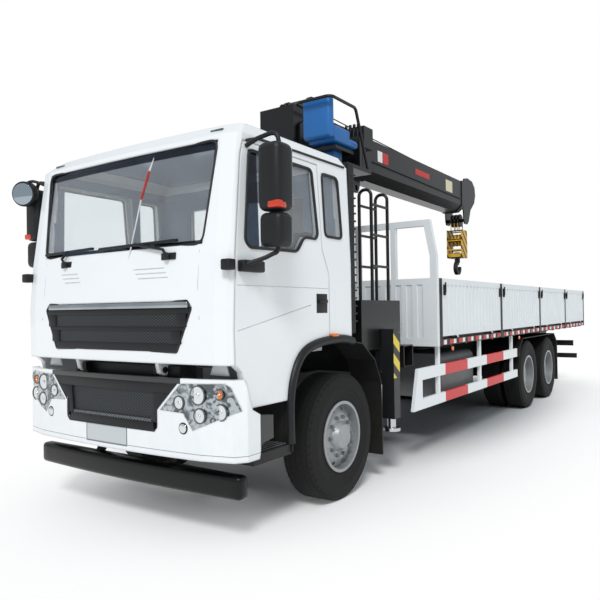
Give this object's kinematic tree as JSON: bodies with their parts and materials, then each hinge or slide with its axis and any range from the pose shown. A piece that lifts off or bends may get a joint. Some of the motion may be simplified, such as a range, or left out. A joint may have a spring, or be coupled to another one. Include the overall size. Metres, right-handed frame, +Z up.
{
  "type": "mobile_crane",
  "caption": "Three-axle cab-over lorry with a straight telescopic crane behind the cab and a drop-side load bed",
  "frame": {"origin": "on the ground, midway along and across the vehicle", "axes": "+Z up, -Y the way the lorry drives, +X its left side"},
  "size_m": [2.9, 11.97, 3.94],
  "materials": {
    "frame_black": "satin black paint",
    "engine_grey": "grey paint",
    "cab_paint": "gloss white paint",
    "lamp_glass": "clear lens",
    "cab_glass": "dark tinted glass",
    "trim_dark": "grained dark plastic",
    "seat_cloth": "dark woven cloth",
    "bed_paint": "satin white paint",
    "crane_paint": "gloss black paint",
    "seat_blue": "moulded blue plastic",
    "rod_chrome": "polished rod",
    "hook_paint": "gloss yellow paint",
    "hook_steel": "dark forged steel",
    "tyre_black": "worn black rubber",
    "rim_silver": "satin silver paint"
  },
  "bodies": {
    "chassis": {"chassis_frame": "frame_black", "axles": "frame_black", "engine": "engine_grey", "front_bumper": "cab_paint", "lower_grille": "frame_black", "headlamps": "lamp_glass", "mudguards": "frame_black", "side_guards": "bed_paint", "fuel_tank": "engine_grey", "air_intake": "frame_black", "load_bed": "frame_black", "headboard": "bed_paint", "crane_base": "crane_paint"},
    "cab": {"cab_shell": "cab_paint", "grille_panel": "frame_black", "cab_glass": "cab_glass", "dashboard": "trim_dark", "cab_seats": "seat_cloth"},
    "door_left": {"door_left": "cab_paint", "door_glass_left": "cab_glass", "mirror_left": "trim_dark"},
    "door_right": {"door_right": "cab_paint", "door_glass_right": "cab_glass", "mirror_right": "trim_dark"},
    "knuckle_left": {"knuckle_left": "frame_black"},
    "knuckle_right": {"knuckle_right": "frame_black"},
    "wheel_front_left": {"tyre_front_left": "tyre_black", "rim_front_left": "rim_silver"},
    "wheel_front_right": {"tyre_front_right": "tyre_black", "rim_front_right": "rim_silver"},
    "column": {"crane_column": "crane_paint", "operator_seat": "seat_blue"},
    "boom_base": {"boom_base": "crane_paint"},
    "boom_2": {"boom_section_2": "crane_paint"},
    "boom_3": {"boom_section_3": "crane_paint"},
    "luff_barrel": {"luff_barrel": "crane_paint"},
    "luff_rod": {"luff_rod": "rod_chrome"},
    "hook_block": {"hook_block": "hook_paint"},
    "hook": {"hook": "hook_steel"},
    "outrigger_left": {"outrigger_beam_left": "crane_paint"},
    "outrigger_right": {"outrigger_beam_right": "crane_paint"},
    "jack_left": {"outrigger_jack_left": "rod_chrome"},
    "jack_right": {"outrigger_jack_right": "rod_chrome"},
    "tailgate": {"tailgate": "bed_paint"},
    "wheels_rear_1_left": {"tyres_rear_1_left": "tyre_black", "rims_rear_1_left": "rim_silver"},
    "wheels_rear_1_right": {"tyres_rear_1_right": "tyre_black", "rims_rear_1_right": "rim_silver"},
    "wheels_rear_2_left": {"tyres_rear_2_left": "tyre_black", "rims_rear_2_left": "rim_silver"},
    "wheels_rear_2_right": {"tyres_rear_2_right": "tyre_black", "rims_rear_2_right": "rim_silver"},
    "dropside_left_1": {"dropside_left_1": "bed_paint"},
    "dropside_left_2": {"dropside_left_2": "bed_paint"},
    "dropside_left_3": {"dropside_left_3": "bed_paint"},
    "dropside_left_4": {"dropside_left_4": "bed_paint"},
    "dropside_right_1": {"dropside_right_1": "bed_paint"},
    "dropside_right_2": {"dropside_right_2": "bed_paint"},
    "dropside_right_3": {"dropside_right_3": "bed_paint"},
    "dropside_right_4": {"dropside_right_4": "bed_paint"}
  },
  "joints": [
    {"name": "cab_tilt", "type": "hinge", "parent": "chassis", "child": "cab", "pos_m": [0, -5.855, 1.195], "axis": [1, 0, 0], "range_deg": [0, 45]},
    {"name": "door_left", "type": "hinge", "parent": "cab", "child": "door_left", "pos_m": [1.15, -5.86, 1.8], "axis": [0, 0, -1], "range_deg": [0, 70]},
    {"name": "door_right", "type": "hinge", "parent": "cab", "child": "door_right", "pos_m": [-1.15, -5.86, 1.8], "axis": [0, 0, 1], "range_deg": [0, 70]},
    {"name": "steer_left", "type": "hinge", "parent": "chassis", "child": "knuckle_left", "pos_m": [0.8, -4.445, 0.535], "axis": [0, 0, 1], "range_deg": [-35, 35]},
    {"name": "steer_right", "type": "hinge", "parent": "chassis", "child": "knuckle_right", "pos_m": [-0.8, -4.445, 0.535], "axis": [0, 0, 1], "range_deg": [-35, 35]},
    {"name": "wheel_front_left", "type": "hinge", "parent": "knuckle_left", "child": "wheel_front_left", "pos_m": [1.005, -4.445, 0.535], "axis": [1, 0, 0], "continuous": true},
    {"name": "wheel_front_right", "type": "hinge", "parent": "knuckle_right", "child": "wheel_front_right", "pos_m": [-1.005, -4.445, 0.535], "axis": [1, 0, 0], "continuous": true},
    {"name": "wheels_rear_1_left", "type": "hinge", "parent": "chassis", "child": "wheels_rear_1_left", "pos_m": [1.07, 1.355, 0.535], "axis": [1, 0, 0], "continuous": true},
    {"name": "wheels_rear_1_right", "type": "hinge", "parent": "chassis", "child": "wheels_rear_1_right", "pos_m": [-1.07, 1.355, 0.535], "axis": [1, 0, 0], "continuous": true},
    {"name": "wheels_rear_2_left", "type": "hinge", "parent": "chassis", "child": "wheels_rear_2_left", "pos_m": [1.07, 2.705, 0.535], "axis": [1, 0, 0], "continuous": true},
    {"name": "wheels_rear_2_right", "type": "hinge", "parent": "chassis", "child": "wheels_rear_2_right", "pos_m": [-1.07, 2.705, 0.535], "axis": [1, 0, 0], "continuous": true},
    {"name": "slew", "type": "hinge", "parent": "chassis", "child": "column", "pos_m": [0, -3.235, 1.46], "axis": [0, 0, 1], "continuous": true},
    {"name": "luff", "type": "hinge", "parent": "column", "child": "boom_base", "pos_m": [0, -3.585, 3.48], "axis": [1, 0, 0], "range_deg": [0, 70]},
    {"name": "luff_barrel", "type": "hinge", "parent": "column", "child": "luff_barrel", "pos_m": [0, -3.285, 2.1], "axis": [1, 0, 0], "range_deg": [0, 34.56]},
    {"name": "luff_rod", "type": "slide", "parent": "luff_barrel", "child": "luff_rod", "axis": [0, 0.7139, 0.7003], "range_m": [0, 1.1721]},
    {"name": "telescope_2", "type": "slide", "parent": "boom_base", "child": "boom_2", "axis": [0, 1, 0], "range_m": [0, 3.4]},
    {"name": "telescope_3", "type": "slide", "parent": "boom_2", "child": "boom_3", "axis": [0, 1, 0], "range_m": [0, 3.4]},
    {"name": "hook_swing", "type": "hinge", "parent": "boom_3", "child": "hook_block", "pos_m": [0, 1.48, 3.13], "axis": [1, 0, 0], "range_deg": [-70, 0]},
    {"name": "hook_swivel", "type": "hinge", "parent": "hook_block", "child": "hook", "pos_m": [0, 1.48, 2.5], "axis": [0, 0, 1], "continuous": true},
    {"name": "outrigger_left", "type": "slide", "parent": "chassis", "child": "outrigger_left", "axis": [1, 0, 0], "range_m": [0, 1.5]},
    {"name": "jack_left", "type": "slide", "parent": "outrigger_left", "child": "jack_left", "axis": [0, 0, -1], "range_m": [0, 0.44]},
    {"name": "outrigger_right", "type": "slide", "parent": "chassis", "child": "outrigger_right", "axis": [-1, 0, 0], "range_m": [0, 1.5]},
    {"name": "jack_right", "type": "slide", "parent": "outrigger_right", "child": "jack_right", "axis": [0, 0, -1], "range_m": [0, 0.44]},
    {"name": "dropside_left_1", "type": "hinge", "parent": "chassis", "child": "dropside_left_1", "pos_m": [1.245, -1.3125, 1.283], "axis": [0, 1, 0], "range_deg": [0, 175]},
    {"name": "dropside_left_2", "type": "hinge", "parent": "chassis", "child": "dropside_left_2", "pos_m": [1.245, 0.91, 1.283], "axis": [0, 1, 0], "range_deg": [0, 175]},
    {"name": "dropside_left_3", "type": "hinge", "parent": "chassis", "child": "dropside_left_3", "pos_m": [1.245, 3.0025, 1.283], "axis": [0, 1, 0], "range_deg": [0, 175]},
    {"name": "dropside_left_4", "type": "hinge", "parent": "chassis", "child": "dropside_left_4", "pos_m": [1.245, 4.939, 1.283], "axis": [0, 1, 0], "range_deg": [0, 175]},
    {"name": "dropside_right_1", "type": "hinge", "parent": "chassis", "child": "dropside_right_1", "pos_m": [-1.245, -1.3125, 1.283], "axis": [0, -1, 0], "range_deg": [0, 175]},
    {"name": "dropside_right_2", "type": "hinge", "parent": "chassis", "child": "dropside_right_2", "pos_m": [-1.245, 0.91, 1.283], "axis": [0, -1, 0], "range_deg": [0, 175]},
    {"name": "dropside_right_3", "type": "hinge", "parent": "chassis", "child": "dropside_right_3", "pos_m": [-1.245, 3.0025, 1.283], "axis": [0, -1, 0], "range_deg": [0, 175]},
    {"name": "dropside_right_4", "type": "hinge", "parent": "chassis", "child": "dropside_right_4", "pos_m": [-1.245, 4.939, 1.283], "axis": [0, -1, 0], "range_deg": [0, 175]},
    {"name": "tailgate", "type": "hinge", "parent": "chassis", "child": "tailgate", "pos_m": [0, 5.974, 1.283], "axis": [-1, 0, 0], "range_deg": [0, 175]}
  ],
  "couplings": [
    {"joint": "steer_right", "follows": "steer_left", "ratio": 1},
    {"joint": "luff_barrel", "follows": "luff", "ratio": 0.4936},
    {"joint": "luff_rod", "follows": "luff", "m_per_rad": 0.959},
    {"joint": "telescope_3", "follows": "telescope_2", "ratio": 1},
    {"joint": "hook_swing", "follows": "luff", "ratio": -1}
  ]
}
